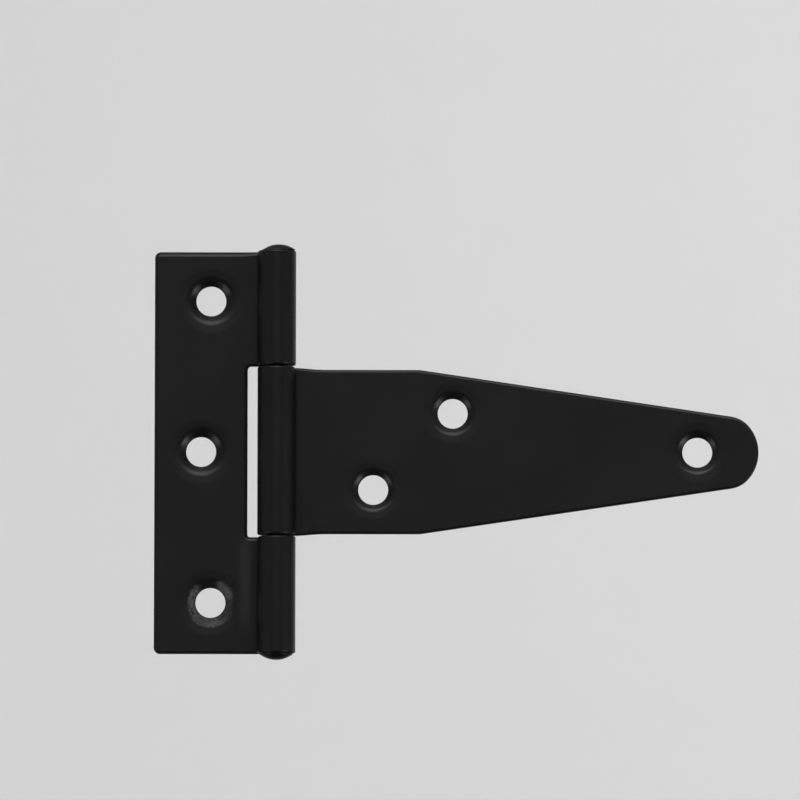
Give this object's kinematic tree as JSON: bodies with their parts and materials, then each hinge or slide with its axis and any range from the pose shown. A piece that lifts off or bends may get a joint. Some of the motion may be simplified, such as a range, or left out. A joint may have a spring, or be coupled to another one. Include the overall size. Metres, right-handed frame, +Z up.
{
  "type": "tee hinge",
  "caption": "Light black coated tee hinge: an upright jamb leaf and a long tapered strap leaf of rolled sheet steel, turning on a pin peened at both ends.",
  "frame": {"origin": "On the plane of both leaves' backs, straight behind the pin and level with the middle of the strap: the pin's axis runs 4.05 mm in front of it, along Z, and the strap's long axis is at Z 0.", "axes": "+X points from the pin to the nose of the strap, +Y into the door and frame that the leaves are screwed to, and +Z up along the pin. The rolled knuckles and the countersinks face -Y."},
  "size_m": [0.1274, 0.0081, 0.0878],
  "materials": {
    "leaf_coating": "satin black powder coat on 2 mm pressed steel sheet",
    "pin_coating": "the same satin black coat over the peened heads of a 4 mm steel pin"
  },
  "bodies": {
    "jamb": {"jamb_leaf": "leaf_coating", "hinge_pin": "pin_coating"},
    "strap": {"strap_leaf": "leaf_coating"}
  },
  "joints": [
    {"name": "strap_swing", "type": "hinge", "parent": "jamb", "child": "strap", "pos_m": [0, -0.00405, 0], "axis": [0, 0, 1], "range_deg": [-189, 114]}
  ]
}
